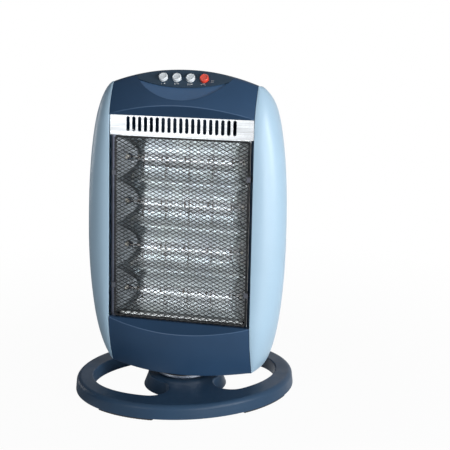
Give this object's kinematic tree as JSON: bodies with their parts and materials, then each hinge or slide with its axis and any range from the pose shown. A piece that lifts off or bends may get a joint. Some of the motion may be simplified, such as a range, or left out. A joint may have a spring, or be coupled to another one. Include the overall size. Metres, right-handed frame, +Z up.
{
  "type": "halogen heater",
  "caption": "Free-standing halogen heater with stacked quartz tubes behind a diamond mesh guard, in a rounded head that swings on an open oval base.",
  "frame": {"origin": "point of the floor under the neck, the centre of the oval base", "axes": "+Z up; the head faces -Y at rest; the base stands turned 26 degrees about Z"},
  "size_m": [0.3392, 0.3036, 0.504],
  "materials": {
    "slate_base": "satin moulded plastic",
    "dark_base": "satin moulded plastic",
    "rubber": "matt",
    "screw_steel": "zinc plated",
    "steel": "pressed sheet",
    "white_nylon": "natural nylon",
    "navy_cover": "satin moulded plastic",
    "dark_panel": "fine matt texture",
    "blue_panel": "glossy moulded plastic",
    "polished_sheet": "polished",
    "quartz": "clear",
    "filament": "dark coiled wire",
    "ceramic": "fired, unglazed",
    "guard_wire": "black coat",
    "grey_button": "satin",
    "red_button": "satin",
    "black_parts": "matt",
    "block_plastic": "matt"
  },
  "bodies": {
    "base": {"base_shell": "slate_base", "base_cover": "dark_base", "base_feet": "rubber", "base_screws": "screw_steel", "neck_tube": "steel", "thrust_washer": "white_nylon", "neck_clip": "screw_steel", "slotted_arm": "steel", "tip_switch": "dark_base"},
    "head": {"turntable_collar": "dark_base", "chassis_plate": "steel", "front_hood": "navy_cover", "control_panel": "dark_panel", "lower_front_cover": "navy_cover", "rear_cover": "navy_cover", "left_side_panel": "blue_panel", "right_side_panel": "blue_panel", "reflector": "polished_sheet", "reflector_end_left": "polished_sheet", "reflector_end_right": "polished_sheet", "halogen_tube_1": "quartz", "halogen_tube_2": "quartz", "halogen_tube_3": "quartz", "halogen_tube_4": "quartz", "filaments": "filament", "ceramic_caps": "ceramic", "tube_holders": "steel", "guard_mesh": "guard_wire", "guard_frame": "guard_wire", "guard_clips": "steel", "switch_bank": "black_parts", "motor_bracket": "steel", "swing_motor": "steel", "thermal_cutout": "black_parts", "terminal_block": "block_plastic", "cord_inlet": "rubber", "cover_screws": "screw_steel"},
    "plunger": {"tip_plunger": "white_nylon"},
    "crank": {"crank_arm": "white_nylon"},
    "button_1": {"heat_button_1": "grey_button"},
    "button_2": {"heat_button_2": "grey_button"},
    "button_3": {"heat_button_3": "grey_button"},
    "button_4": {"swing_button": "red_button"}
  },
  "joints": [
    {"name": "head_swing", "type": "hinge", "parent": "base", "child": "head", "pos_m": [0, 0, 0.03], "axis": [0, 0, 1], "range_deg": [-9, 61]},
    {"name": "crank_turn", "type": "hinge", "parent": "head", "child": "crank", "pos_m": [-0.03, 0, 0.077], "axis": [0, 0, 1], "range_deg": [-176.9, 26.1]},
    {"name": "tip_slide", "type": "slide", "parent": "base", "child": "plunger", "axis": [0, 0, 1], "range_m": [-0.003, 0]},
    {"name": "button_1_push", "type": "slide", "parent": "head", "child": "button_1", "axis": [0, -0.6871, 0.7266], "range_m": [-0.003, 0], "stiffness_N_per_m": 400, "springref_m": 0.001},
    {"name": "button_2_push", "type": "slide", "parent": "head", "child": "button_2", "axis": [0, -0.6871, 0.7266], "range_m": [-0.003, 0], "stiffness_N_per_m": 400, "springref_m": 0.001},
    {"name": "button_3_push", "type": "slide", "parent": "head", "child": "button_3", "axis": [0, -0.6871, 0.7266], "range_m": [-0.003, 0], "stiffness_N_per_m": 400, "springref_m": 0.001},
    {"name": "button_4_push", "type": "slide", "parent": "head", "child": "button_4", "axis": [0, -0.6871, 0.7266], "range_m": [-0.003, 0], "stiffness_N_per_m": 400, "springref_m": 0.001}
  ],
  "couplings": [
    {"joint": "crank_turn", "follows": "head_swing", "ratio": -2.9}
  ]
}
